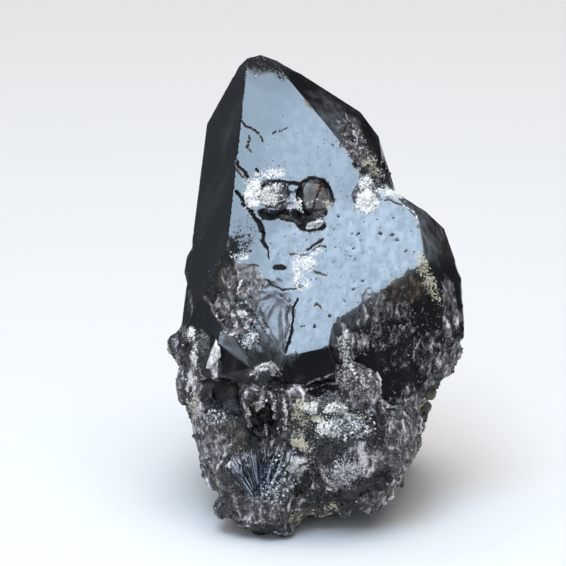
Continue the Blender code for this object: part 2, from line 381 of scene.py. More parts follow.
# What is where on the surface: for each quality, ellipses of the photograph as centre, radii, turn
# in degrees and strength
PATCHES = {
    "white_and_highlight": [
        ((271, 193), (14, 12), 0, 1.0),
        ((253, 193), (9, 17), 12, 0.8),
        ((270, 174), (17, 5), -5, 0.65),
        ((367, 203), (13, 11), 15, 0.95),
        ((366, 187), (8, 12), 20, 0.6),
        ((391, 194), (17, 4), 12, 0.8),
        ((304, 264), (14, 12), -20, 0.56),
        ((303, 278), (11, 14), 10, 0.56),
        ((316, 252), (9, 4), -35, 0.5),
        ((314, 224), (9, 3), -20, 0.9),
        ((298, 203), (4, 10), -25, 0.7),
        ((241, 256), (12, 4), 0, 0.6),
        ((242, 314), (5, 4), 0, 0.9),
        ((191, 334), (4, 8), 0, 0.65),
        ((194, 356), (3, 13), 4, 0.6),
        ((191, 387), (6, 19), 4, 0.7),
        ((196, 414), (6, 9), 0, 0.5),
        ((251, 340), (7, 8), 30, 0.6),
        ((264, 367), (10, 4), -20, 0.6),
        ((346, 371), (8, 9), 20, 0.45),
        ((356, 384), (22, 14), 40, 0.32),
        ((346, 345), (5, 22), -5, 0.5),
        ((254, 404), (12, 4), 0, 0.4),
        ((260, 497), (9, 6), 0, 0.4),
        ((210, 440), (9, 20), 12, 0.3),
        ((322, 407), (27, 7), 3, 0.6),
        ((326, 427), (17, 9), 12, 0.62),
        ((337, 474), (14, 12), 0, 0.5),
        ((350, 471), (8, 9), -20, 0.8),
        ((298, 466), (9, 11), 0, 0.6),
        ((296, 508), (5, 4), 0, 0.8),
    ],
    "cream_and_glint": [
        # A tiny cream spot at the pocket crystal's right end: a painted glint
        ((328, 204), (2.5, 4), 0, 0.8),
        ((372, 165), (6, 14), -35, 0.5),
        ((301, 404), (11, 7), 0, 0.8),
        ((318, 424), (14, 8), 0, 0.75),
        ((352, 416), (14, 4), 8, 0.6),
        ((298, 425), (8, 18), 0, 0.5),
        ((303, 446), (15, 6), 35, 0.8),
        ((429, 281), (7, 24), -28, 0.58),
        ((422, 264), (7, 11), -15, 0.55),
        ((267, 194), (7, 6), 0, 0.9),
        ((314, 515), (26, 5), -14, 0.5),
        ((194, 402), (6, 14), 0, 0.5),
    ],
    "frost": [
        ((360, 152), (9, 30), -28, 1.0),
        ((385, 325), (36, 34), -10, 0.55),
        ((230, 306), (16, 16), 30, 0.7),
        ((240, 276), (20, 14), -20, 0.65),
        ((250, 300), (12, 12), 0, 0.6),
        ((238, 324), (18, 14), -30, 0.8),
        ((256, 283), (12, 6), 0, 0.7),
        ((346, 348), (9, 26), -5, 1.0),
        ((357, 338), (11, 8), 30, 0.8),
        ((356, 379), (24, 15), 38, 1.0),
        ((432, 350), (24, 26), -30, 0.6),
        ((452, 325), (9, 48), -6, 0.9),
        ((440, 370), (16, 8), -15, 0.8),
        ((395, 360), (24, 16), 0, 0.4),
        ((410, 398), (7, 18), 0, 0.8),
        ((268, 372), (18, 10), 0, 0.8),
        ((268, 398), (18, 8), 0, 0.6),
        ((207, 445), (18, 36), 15, 0.8),
        ((180, 384), (7, 16), 0, 0.8),
        ((258, 500), (14, 10), 0, 0.8),
        ((334, 474), (18, 16), 0, 0.9),
        ((300, 468), (10, 14), 0, 0.8),
        ((374, 500), (16, 12), -20, 0.6),
        ((232, 505), (16, 16), 0, 0.3),
        ((272, 512), (20, 8), 0, 0.6),
        ((400, 440), (16, 28), 10, 0.75),
        ((352, 388), (20, 16), 40, 1.0),
        ((190, 302), (3, 16), -4, 0.8),
    ],
    # Black: partly black glassy quartz, and where it lies over the hollows of FORMS, painted shade in
    # them
    "black_and_shade": [
        ((186, 311), (5, 14), 0, 1.0),
        ((184, 351), (7, 15), 0, 0.9),
        ((212, 328), (11, 12), 0, 0.9),
        ((203, 350), (6, 14), 0, 0.8),
        ((234, 381), (15, 6), 0, 0.8),
        ((222, 398), (22, 20), 10, 0.8),
        ((206, 352), (6, 20), 12, 0.8),
        ((260, 416), (26, 22), 0, 1.0),
        ((276, 384), (17, 8), 12, 1.0),
        ((316, 361), (24, 13), -12, 1.0),
        ((323, 386), (22, 9), -3, 0.7),
        ((328, 452), (15, 13), 0, 1.0),
        ((246, 470), (10, 8), 0, 0.5),
        ((382, 478), (10, 14), 30, 0.7),
        ((345, 497), (16, 8), -10, 0.9),
        ((225, 478), (12, 12), 0, 0.6),
        ((300, 416), (8, 6), 0, 0.8),
        ((362, 430), (20, 15), 0, 0.9),
        ((320, 495), (19, 6), 5, 0.9),
        ((335, 506), (24, 5), 0, 0.7),
        ((366, 486), (11, 8), 0, 0.8),
        ((388, 305), (34, 20), -25, 0.4),
        ((264, 529), (14, 6), 0, 0.8),
        ((296, 488), (8, 8), 0, 0.7),
        ((396, 452), (18, 22), 0, 0.45),
        ((340, 441), (12, 12), 0, 1.0),
        ((256, 428), (10, 18), 10, 1.0),
        ((282, 405), (8, 18), 0, 1.0),
        ((238, 405), (10, 22), -15, 1.0),
        ((400, 400), (14, 24), 0, 0.4),
        ((236, 498), (16, 16), 0, 0.5),
    ],
    "brown": [
        ((405, 288), (24, 15), -25, 0.9),
        ((316, 196), (15, 16), 0, 1.0),
        ((232, 285), (14, 16), -10, 0.8),
        ((228, 304), (12, 9), 30, 0.7),
        ((228, 436), (26, 16), 0, 0.8),
        ((440, 235), (16, 30), -35, 0.3),
        ((240, 276), (22, 16), -10, 0.85),
        ((308, 515), (30, 9), -10, 0.9),
        ((363, 383), (15, 8), 25, 0.7),
        ((238, 494), (17, 17), 0, 0.5),
        ((360, 150), (10, 26), -28, 0.5),
    ],
    "etched": [
        ((246, 228), (15, 16), 0, 0.24),
        ((240, 246), (17, 13), 10, 0.38),
        ((232, 252), (8, 14), 10, 0.6),
        ((262, 60), (26, 9), 6, 0.5),
        ((282, 74), (12, 7), 35, 0.36),
        ((400, 335), (34, 22), -10, 0.35),
    ],
    "dust": [
        ((388, 318), (46, 36), -25, 0.35),
        ((428, 345), (26, 36), -10, 0.7),
        ((366, 340), (16, 20), 0, 0.7),
        ((362, 150), (9, 34), -28, 1.0),
        ((366, 198), (20, 24), 15, 0.8),
        ((304, 268), (17, 24), 0, 0.7),
        ((236, 286), (24, 28), -10, 0.6),
        ((264, 190), (26, 24), 0, 0.7),
        ((262, 64), (20, 10), 0, 0.5),
        ((212, 440), (24, 44), 12, 0.5),
        ((330, 445), (52, 52), 0, 0.7),
        ((262, 505), (52, 28), 0, 0.8),
        ((268, 392), (26, 10), 0, 0.8),
        ((398, 430), (18, 40), 10, 0.6),
    ],
    "satin": [
        ((235, 341), (15, 8), 0, 1.0),
        ((240, 360), (22, 17), 0, 0.9),
        ((203, 384), (10, 19), 0, 1.0),
        ((227, 392), (15, 15), 0, 0.7),
        ((316, 197), (16, 17), 0, 1.0),
        ((268, 322), (24, 36), 18, 0.35),
        ((262, 60), (32, 13), 5, 0.9),
        ((268, 76), (32, 18), 20, 0.35),
        ((398, 447), (22, 26), 0, 0.7),
        ((180, 384), (7, 16), 0, 0.5),
    ],
    # Pale blue-white haze on the mirror face and the face below it: partly milky veils, partly a painted
    # reflection of the bluish key light
    "haze_and_sheen": [
        ((385, 235), (48, 50), 0, 0.9),
        ((330, 262), (60, 70), 20, 0.75),
        ((300, 320), (40, 40), 0, 0.7),
        ((315, 160), (45, 55), 0, 0.45),
    ],
    # Black painted into the pocket's trough and at a crack's end: painted shade in these hollows
    "pit_shade": [
        ((279, 267), (9, 4), 5, 0.62),
        ((292, 216), (28, 7), 8, 0.8),
    ],
    "broken": [
        ((358, 150), (10, 34), -26, 1.0),
        ((375, 172), (12, 20), -35, 1.0),
        ((228, 300), (14, 16), 20, 0.6),
        ((232, 322), (14, 12), -20, 0.5),
    ],
    "growth": [
        ((350, 425), (20, 13), 10, 0.7),
        ((280, 476), (16, 24), 20, 0.3),
        ((348, 470), (14, 12), -20, 0.5),
        ((216, 416), (12, 8), 20, 0.4),
        ((250, 340), (9, 10), 30, 0.4),
    ],
}

# The ridges between the grooves under the small dark crystal, in pixels
GROOVE_RIDGES = [
    ((243, 398), (247, 412), (249, 427)),
    ((262, 396), (263, 404), (258, 410)),
    ((271, 394), (276, 405), (275, 418)),
    ((266, 424), (268, 438)),
    ((284, 398), (286, 414), (284, 428)),
]

# Ridges and lines drawn on the surface: the quality, its strength, the half width in pixels, the
# height in millimetres, and the pixels that it runs through
STROKES = [
    ("satin", 0.25, 2.6, 0.0, ((245, 66), (241, 88), (238, 108))),
    ("frost", 0.9, 0.8, 0.05, ((259, 56), (258, 66), (256, 76))),
    ("frost", 0.8, 0.7, 0.05, ((264, 57), (266, 66))),
    # Black painted into fine grooves at the tip: painted shade in them
    ("pit_shade", 1.0, 1.3, -0.1, ((251, 58), (250, 66))),
    ("pit_shade", 1.0, 1.2, -0.1, ((268, 60), (274, 67), (281, 72))),
    ("frost", 1.0, 1.5, 0.45, ((206, 298), (214, 310), (225, 332))),
    ("white_and_highlight", 0.9, 0.8, 0.10, ((243, 280), (241, 289), (239, 297))),
    ("frost", 0.9, 0.9, 0.25, ((288, 298), (287, 316), (285, 338), (283, 356))),
    ("frost", 1.0, 1.0, 0.25, ((342, 320), (343, 338), (346, 358))),
    ("frost", 1.0, 1.6, 0.50, ((337, 366), (341, 377), (352, 386), (364, 398))),
    ("frost", 1.0, 1.4, 0.40, ((346, 362), (357, 368), (365, 380), (369, 394))),
    ("frost", 0.9, 1.2, 0.35, ((372, 388), (380, 394), (384, 405))),
    *[("frost", 1.0, 1.9, 0.60, points) for points in GROOVE_RIDGES],
    ("frost", 0.9, 1.4, 0.50, ((251, 374), (260, 366), (272, 363), (283, 374))),
    ("frost", 0.9, 1.3, 0.50, ((250, 388), (258, 396), (270, 391), (283, 390))),
    *[("white_and_highlight", 0.5, 1.3, 0.0, points) for points in GROOVE_RIDGES],
    ("white_and_highlight", 0.45, 1.4, 0.0, ((251, 374), (260, 366), (272, 363), (283, 374))),
    ("white_and_highlight", 0.4, 1.3, 0.0, ((306, 204), (317, 200), (328, 203))),
    ("frost", 0.8, 1.7, 0.20, ((301, 387), (318, 380), (333, 374))),
    ("frost", 0.7, 1.4, 0.20, ((304, 392), (322, 386), (340, 383))),
    # A thin white line along the right crystal's rim: a painted highlight
    ("white_and_highlight", 0.7, 0.7, 0.05, ((404, 206), (413, 213), (418, 222))),
    # Black painted along the pocket's rim and trough and along the cracks, which are also cut in: painted
    # shade in these hollows
    ("pit_shade", 1.0, 1.7, -0.4, ((263, 187), (274, 181), (290, 184), (300, 183), (312, 178), (324, 182))),
    ("pit_shade", 1.0, 1.6, -0.4, ((324, 182), (330, 191), (333, 201))),
    ("pit_shade", 1.0, 3.6, -0.8, ((262, 212), (272, 217), (286, 214), (296, 217), (305, 227), (322, 227))),
    ("pit_shade", 1.0, 2.0, -0.5, ((300, 188), (300, 200), (306, 212))),
    ("pit_shade", 1.0, 1.3, -0.5, ((237, 191), (243, 203), (251, 211))),
    ("pit_shade", 1.0, 1.7, -0.5, ((251, 211), (260, 222), (262, 232))),
    ("pit_shade", 1.0, 1.2, -0.4, ((262, 232), (262, 240), (266, 248))),
    ("pit_shade", 0.9, 0.6, -0.2, ((266, 248), (268, 258))),
    ("pit_shade", 0.9, 0.5, -0.1, ((242, 122), (246, 126), (251, 128), (259, 133), (263, 142))),
    ("pit_shade", 0.9, 0.4, -0.1, ((272, 135), (277, 132), (280, 132), (286, 128))),
    ("pit_shade", 0.7, 0.4, -0.1, ((249, 136), (247, 146), (251, 152))),
    ("pit_shade", 0.9, 0.9, -0.3, ((238, 162), (243, 170), (247, 179))),
    ("frost", 0.9, 0.8, 0.1, ((236, 162), (240, 174), (250, 183))),
    ("pit_shade", 0.9, 0.9, -0.3, ((256, 169), (260, 175))),
    ("pit_shade", 0.8, 0.5, -0.2, ((267, 280), (274, 286), (283, 290), (295, 290), (303, 286))),
    ("pit_shade", 1.0, 0.9, -0.6, ((296, 299), (293, 308), (294, 318), (290, 336), (286, 353))),
    ("pit_shade", 0.8, 0.9, -0.2, ((307, 251), (316, 244), (323, 239))),
    ("pit_shade", 0.7, 0.5, -0.2, ((312, 252), (321, 246), (325, 247))),
    ("pit_shade", 0.9, 0.5, -0.1, ((290, 254), (298, 257), (309, 256))),
    ("pit_shade", 0.8, 0.5, -0.1, ((313, 271), (320, 275), (331, 277))),
    ("frost", 0.7, 0.5, 0.02, ((327, 262), (345, 256), (368, 252))),
    ("frost", 0.8, 0.7, 0.02, ((336, 200), (346, 196), (358, 194))),
    ("pit_shade", 0.8, 0.5, -0.1, ((378, 200), (392, 202), (402, 206))),
    ("pit_shade", 0.8, 0.6, -0.1, ((313, 306), (316, 303), (321, 309))),
]

# Humps and hollows: centre and radii in pixels, turn, and height in millimetres
# Each hollow here lies under a black patch of about the same place and size: painted shade in the hollow
FORMS = [
    ((273, 195), (16, 13), 0, 1.1),
    ((357, 377), (24, 15), 40, 1.1),
    ((223, 397), (24, 22), 0, -0.8),
    ((276, 385), (18, 9), 12, -1.0),
    ((262, 417), (24, 21), 0, -0.7),
    ((328, 452), (15, 13), 0, -1.3),
    ((238, 407), (9, 20), -15, -0.7),
    ((382, 478), (10, 13), 30, -0.8),
    ((184, 351), (8, 17), 0, 0.7),
    ((180, 385), (8, 18), 0, 0.7),
    ((216, 417), (14, 11), 0, 1.0),
    ((233, 450), (9, 6), 0, 0.6),
    ((236, 502), (17, 18), 0, 0.9),
    ((398, 447), (24, 30), 0, 0.7),
    ((322, 408), (30, 9), 0, 0.7),
    ((326, 428), (16, 9), 0, 0.5),
    ((362, 429), (19, 13), 0, 0.5),
    ((323, 386), (22, 8), 0, -0.8),
    ((330, 504), (28, 6), 0, -1.0),
    ((440, 368), (14, 7), -15, 0.7),
    ((336, 474), (20, 16), 0, 0.6),
    ((366, 196), (15, 16), 10, 0.6),
]

# A pixel on the mirror face, and one on the broken corner below it
MIRROR_PIXEL = (300, 150)
CORNER_PIXEL = (243, 325)
# Where the shoulder's top meets the mirror face, and how wide the band beside it is, in pixels
SEAM = ((356, 196), (331, 322))
SEAM_BAND = 6
# The least cosines to the mirror face's normal of what is brought level with it and of what then
# counts as flat, and how far off it that may lie
LEVEL_COSINE = 0.97
FLAT_COSINE = 0.985
MIRROR_DEPTH = 0.5 * MM
# The conchoidal break: where its ribs start, and the ellipse that they fill
FAN_ORIGIN = (286, 290)
FAN = ((266, 322), (24, 38), 18)
# The frosted corner's ledges, which run level with the mirror face
LEDGES = ((252, 318), (26, 40), 18)
LEDGE_STEP = 1.5

NEEDLE_FOOT = (261, 508)
NEEDLES = 96

# Lumps beside the outline: centre and radii in pixels
NODULES = [
    ((430, 392), (6.5, 8)),
    ((426, 407), (5.5, 6.5)),
    ((388, 489), (3.0, 6)),
]
SHARD = [(216, 339), (220, 348), (221, 357), (216, 362), (210, 369), (206, 368), (208, 360), (211, 351)]

CRUST_TONES = [
    (0.0, (0.34, 0.30, 0.20)),
    (0.3, (0.66, 0.61, 0.47)),
    (0.5, (0.58, 0.55, 0.51)),
    (1.0, (0.94, 0.92, 0.89)),
]
DRUSE_TONES = [
    (0.0, (0.05, 0.05, 0.065)),
    (0.5, (0.40, 0.40, 0.42)),
    (1.0, (0.92, 0.91, 0.90)),
]
NEEDLE_TONES = [
    (0.0, (0.010, 0.014, 0.024)),
    (0.5, (0.022, 0.03, 0.045)),
    (0.75, (0.24, 0.26, 0.31)),
    (1.0, (0.62, 0.66, 0.72)),
]
NODULE_TONES = [
    (0.0, (0.035, 0.030, 0.020)),
    (1.0, (0.16, 0.13, 0.085)),
]


def make_mesh(name, co, tri, materials, index=None, sharp=32.0):
    """An object of its own from points and triangles, riding on the cluster's body."""
    mesh = bpy.data.meshes.new(name)
    mesh.from_pydata(co.tolist(), [], tri.tolist())
    for material in materials:
        mesh.materials.append(material)
    if index is not None:
        mesh.polygons.foreach_set("material_index", index.astype(np.int32))
    mesh.shade_smooth()
    mesh.set_sharp_from_angle(angle=math.radians(sharp))
    obj = bpy.data.objects.new(name, mesh)
    bpy.context.scene.collection.objects.link(obj)
    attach(obj, BODY)
    return obj


def add_values(obj, name, values):
    layer = obj.data.attributes.new(name, "FLOAT", "POINT")
    layer.data.foreach_set("value", values.astype(np.float32))


# Shader nodes
def add_node(tree, kind, inputs=None, **settings):
    made = tree.nodes.new("ShaderNode" + kind)
    for key, value in settings.items():
        setattr(made, key, value)
    for key, value in (inputs or {}).items():
        if isinstance(value, bpy.types.NodeSocket):
            tree.links.new(value, made.inputs[key])
        else:
            made.inputs[key].default_value = value
    return made


def noise_node(tree, where, size, detail, rough=0.55, distort=0.0):
    """Noise with features of about the given size, in millimetres."""
    settings = {"Vector": where, "Scale": 1 / (size * MM), "Detail": detail, "Roughness": rough}
    return add_node(tree, "TexNoise", {**settings, "Distortion": distort}).outputs["Fac"]


def maths(tree, operation, a, b=0.0):
    return add_node(tree, "Math", {0: a, 1: b}, operation=operation).outputs[0]


def times(tree, a, b):
    return maths(tree, "MULTIPLY", a, b)


def plus(tree, a, b):
    return maths(tree, "ADD", a, b)


def greater(tree, a, b):
    return maths(tree, "MAXIMUM", a, b)


def between(tree, value, low, high, start=0.0, end=1.0):
    """start where value is below low, end above high, and smooth between."""
    settings = {"Value": value, "From Min": low, "From Max": high, "To Min": start, "To Max": end}
    return add_node(tree, "MapRange", settings, interpolation_type="SMOOTHSTEP").outputs[0]


def blend(tree, factor, a, b):
    mix = add_node(tree, "Mix", {0: factor, 6: a, 7: b}, data_type="RGBA")
    return mix.outputs[2]


def ramp(tree, value, stops):
    made = add_node(tree, "ValToRGB", {"Fac": value})
    points = made.color_ramp.elements
    while len(points) < len(stops):
        points.new(0.5)
    for point, (place, colour) in zip(points, stops):
        point.position = place
        point.color = (*colour, 1)
    return made.outputs["Color"]


def attribute(tree, name):
    return add_node(tree, "Attribute", attribute_name=name, attribute_type="GEOMETRY").outputs["Fac"]


def stretched(tree, scale, turn=0.0):
    """Object coordinates, squeezed along the axes, so that the noise on them is drawn out."""
    where = add_node(tree, "TexCoord").outputs["Object"]
    settings = {"Vector": where, "Scale": scale, "Rotation": (0, math.radians(turn), 0)}
    return add_node(tree, "Mapping", settings).outputs[0]


def new_material(name):
    material = bpy.data.materials.new(name)
    material.use_nodes = True
    tree = material.node_tree
    return material, tree, tree.nodes["Principled BSDF"]


def bump(tree, height, distance, strength=1.0, under=None):
    inputs = {"Height": height, "Distance": distance * MM, "Strength": strength}
    if under is not None:
        inputs["Normal"] = under
    return add_node(tree, "Bump", inputs).outputs[0]


QUARTZ_IOR = 1.544
# The shader's specular level on the tip's faces and on the duller upright faces of the prisms; the
# prisms' level is set low partly as painted shade, so that those faces read dark
TIP_GLOSS = 0.5
PRISM_SHADE_GLOSS = 0.09
PRISM_SLOPE = 0.2
BLACK_TONE = (0.0035, 0.0035, 0.0045, 1)


def speckled(tree, name, pattern, spread, edge):
    """A painted quality broken up by a pattern: where the quality is weak only the peaks stay."""
    quality = attribute(tree, name)
    level = plus(tree, quality, times(tree, pattern, spread))
    level = between(tree, level, 0.35 + spread / 2, 0.35 + spread / 2 + edge)
    return times(tree, level, between(tree, quality, 0.05, 0.25))


def quartz_coats(tree, colour, where):
    """Adds the frost, crusts and blacks that crystal faces and matrix share, and says how dull and
    how pitted each place is. The blacks are partly black quartz and partly painted shade in hollows,
    pits and cracks; the crusts carry a painted glint and a painted highlight line."""
    streak = noise_node(tree, stretched(tree, (1, 1, 0.5), -10), 1.1, 6, 0.68, 0.8)
    grain = noise_node(tree, where, 0.4, 4, 0.65)
    frosted = ramp(
        tree,
        streak,
        [
            (0.39, (0.006, 0.005, 0.007)),
            (0.47, (0.040, 0.036, 0.042)),
            (0.55, (0.19, 0.166, 0.172)),
            (0.65, (0.80, 0.745, 0.735)),
        ],
    )
    browned = ramp(
        tree,
        streak,
        [
            (0.34, (0.006, 0.004, 0.003)),
            (0.48, (0.035, 0.025, 0.018)),
            (0.60, (0.12, 0.085, 0.06)),
            (0.72, (0.30, 0.23, 0.18)),
        ],
    )
    brown = attribute(tree, "brown")
    colour = blend(tree, times(tree, brown, 0.85), colour, browned)
    mottle = plus(tree, times(tree, streak, 0.6), times(tree, grain, 0.4))
    frost = speckled(tree, "frost", mottle, 1.0, 0.45)
    mixed = blend(tree, times(tree, brown, 0.45), frosted, browned)
    colour = blend(tree, frost, colour, mixed)
    # Black: black glassy quartz, and painted shade in the hollows
    black_and_shade = speckled(tree, "black_and_shade", grain, 0.7, 0.25)
    colour = blend(tree, black_and_shade, colour, BLACK_TONE)
    specks = between(tree, noise_node(tree, where, 0.5, 3, 0.6), 0.60, 0.70)
    dust = times(tree, attribute(tree, "dust"), specks)
    colour = blend(tree, dust, colour, (0.50, 0.48, 0.49, 1))
    cream_and_glint = speckled(tree, "cream_and_glint", grain, 2.6, 0.3)
    colour = blend(tree, cream_and_glint, colour, CREAM)
    white_and_highlight = speckled(tree, "white_and_highlight", grain, 2.2, 0.3)
    colour = blend(tree, white_and_highlight, colour, WHITE)
    # Black painted into the pocket, the cracks and the pits, and onto the etched specks: painted shade in
    # these hollows
    pit_shade = speckled(tree, "pit_shade", grain, 0.5, 0.2)
    pit_shade = greater(tree, pit_shade, speckled(tree, "etched", grain, 1.6, 0.12))
    colour = blend(tree, pit_shade, colour, BLACK_TONE)
    crust = greater(tree, greater(tree, cream_and_glint, white_and_highlight), dust)
    dull = greater(tree, times(tree, frost, 0.75), crust)
    return colour, dull, pit_shade, streak, grain


def crystal_material(name, gloss, grooves):
    """Dark smoky-violet quartz faces: glassy, with veils, frosted breaks, crusts and cracks, and on
    the prisms with level growth grooves. Black is painted as shade into cracks and pits, and a pale
    blue haze on the mirror face is partly a painted reflection of the key light."""
    material, tree, shader = new_material(name)
    shader.inputs["Specular IOR Level"].default_value = gloss
    where = stretched(tree, (1, 1, 1))
    veil = noise_node(tree, stretched(tree, (1, 1, 0.3), 13), 5.0, 6, 0.62, 0.6)
    lines = noise_node(tree, stretched(tree, (1, 1, 0.12), 13), 1.2, 4, 0.6, 0.3)
    dark = ramp(
        tree,
        veil,
        [
            (0.0, (0.002, 0.0015, 0.0025)),
            (0.48, (0.003, 0.0025, 0.0035)),
            (0.62, (0.012, 0.010, 0.012)),
            (0.8, (0.035, 0.03, 0.034)),
        ],
    )
    # The haze lightens the dark faces towards pale blue: partly milky veils, partly a painted reflection
    # of the key light
    haze_and_sheen = times(tree, attribute(tree, "haze_and_sheen"), between(tree, lines, 0.3, 0.7, 0.35, 1.3))
    dark = blend(tree, times(tree, haze_and_sheen, 0.2), dark, (0.8, 0.86, 0.95, 1))
    colour, dull, pit_shade, streak, grain = quartz_coats(tree, dark, where)
    dots = between(tree, noise_node(tree, where, 0.62, 1, 0.5), 0.69, 0.72)
    dots = times(tree, dots, between(tree, noise_node(tree, where, 7.0, 1), 0.42, 0.56))
    pit_shade = greater(tree, pit_shade, times(tree, dots, maths(tree, "GREATER_THAN", haze_and_sheen, 0.15)))
    colour = blend(tree, pit_shade, colour, BLACK_TONE)
    tree.links.new(colour, shader.inputs["Base Color"])
    etched = attribute(tree, "etched")
    satin = attribute(tree, "satin")
    rough = between(tree, dull, 0.0, 1.0, 0.05, 0.65)
    rough = plus(tree, rough, times(tree, etched, 0.04))
    rough = plus(tree, rough, times(tree, satin, 0.5))
    rough = plus(tree, rough, pit_shade)
    tree.links.new(rough, shader.inputs["Roughness"])
    slow = noise_node(tree, where, 9.0, 2)
    normal = bump(tree, slow, 0.10)
    normal = bump(tree, lines, 0.010, under=normal)
    if grooves:
        levels = noise_node(tree, stretched(tree, (0.12, 0.12, 1)), 0.7, 3, 0.6)
        normal = bump(tree, levels, 0.03, under=normal)
    normal = bump(tree, streak, 0.22, dull, normal)
    normal = bump(tree, grain, 0.14, greater(tree, dull, etched), normal)
    tree.links.new(normal, shader.inputs["Normal"])
    shader.inputs["IOR"].default_value = QUARTZ_IOR
    return material


def matrix_material():
    """The matrix: black glassy quartz, black painted shade in its hollows, purple-grey frosted quartz,
    white specks and crusts.
    """
    material, tree, shader = new_material("quartz_matrix")
    where = stretched(tree, (1, 1, 1))
    along = stretched(tree, (1, 1, 0.45), -12)
    patch = noise_node(tree, along, 4.5, 5, 0.6, 0.8)
    fine = noise_node(tree, along, 1.5, 6, 0.66, 0.6)
    tone = plus(tree, times(tree, patch, 0.58), times(tree, fine, 0.42))
    base = ramp(
        tree,
        tone,
        [
            (0.475, (0.003, 0.0025, 0.004)),
            (0.505, (0.014, 0.012, 0.016)),
            (0.53, (0.075, 0.068, 0.078)),
            (0.56, (0.31, 0.28, 0.29)),
            (0.595, (0.88, 0.84, 0.84)),
        ],
    )
    vein = noise_node(tree, stretched(tree, (1, 1, 0.4), -8), 2.4, 4, 0.6, 1.0)
    off = maths(tree, "ABSOLUTE", maths(tree, "SUBTRACT", vein, 0.5))
    vein = times(tree, between(tree, off, 0.006, 0.022, 1.0, 0.0), between(tree, fine, 0.42, 0.6))
    base = blend(tree, times(tree, vein, 0.8), base, (0.55, 0.53, 0.56, 1))
    colour, dull, _, streak, grain = quartz_coats(tree, base, where)
    tree.links.new(colour, shader.inputs["Base Color"])
    dull = greater(tree, dull, between(tree, tone, 0.44, 0.6, 0.0, 0.7))
    rough = between(tree, dull, 0.0, 1.0, 0.10, 0.75)
    tree.links.new(rough, shader.inputs["Roughness"])
    normal = bump(tree, fine, 0.30)
    normal = bump(tree, streak, 0.15, under=normal)
    normal = bump(tree, grain, 0.10, under=normal)
    tree.links.new(normal, shader.inputs["Normal"])
    shader.inputs["IOR"].default_value = QUARTZ_IOR
    return material


def flatten_mirror(skin):
    """Brings the shoulder's top level with the mirror face, so that the two read as one."""
    place, normal = (np.array(found) for found in skin.solid.hit(MIRROR_PIXEL))
    off = (skin.co - place) @ normal
    level = np.zeros(len(skin.co), bool)
    level[skin.tri[unit(across(skin.co, skin.tri)) @ normal > LEVEL_COSINE].ravel()] = True
    level |= line_distance(skin.px, skin.py, SEAM) < SEAM_BAND
    near = (np.abs(off) < MIRROR_DEPTH) & (skin.seen > 0) & (skin.rock == 0) & level
    skin.co[near] -= off[near, None] * normal
    flat = (skin.normal @ normal > FLAT_COSINE) & near
    return near, flat


def paint_qualities(skin, rock, crystal, coarse):
    """How strong each quality is at each point: as the photograph shows it, and by chance elsewhere."""
    co = skin.co
    masks = {name: skin.spots(places) for name, places in PATCHES.items()}
    # Behind, where the photograph shows nothing, crusts and stains lie by chance
    behind = rock * (1 - skin.seen)
    for name, seed, strength in (("white_and_highlight", 21.0, 0.8), ("cream_and_glint", 22.0, 0.7), ("brown", 23.0, 0.7)):
        chance = step(noise_at(co, 6.0, seed), 0.28, 0.45)
        masks[name] = np.maximum(masks[name], strength * chance * behind)
    gaps = step(noise_at(co, 1.7, 16.0), -0.35, 0.10)
    for name in ("white_and_highlight", "cream_and_glint"):
        masks[name] *= 1 - (0.3 + 0.4 * rock) * (1 - gaps)
    veils = step(noise_at(co * (1, 1, 0.4), 5.0, 24.0), 0.12, 0.5) * crystal * (1 - skin.near_seen)
    masks["frost"] = np.maximum(masks["frost"], 0.55 * veils)
    # The crystals' feet are frosted in patches, all the way round
    foot = step(skin.spread(skin.rock, 40), 0.02, 0.5) * step(coarse, -0.25, 0.35)
    masks["frost"] = np.maximum(masks["frost"], 0.7 * foot * crystal)
    return masks


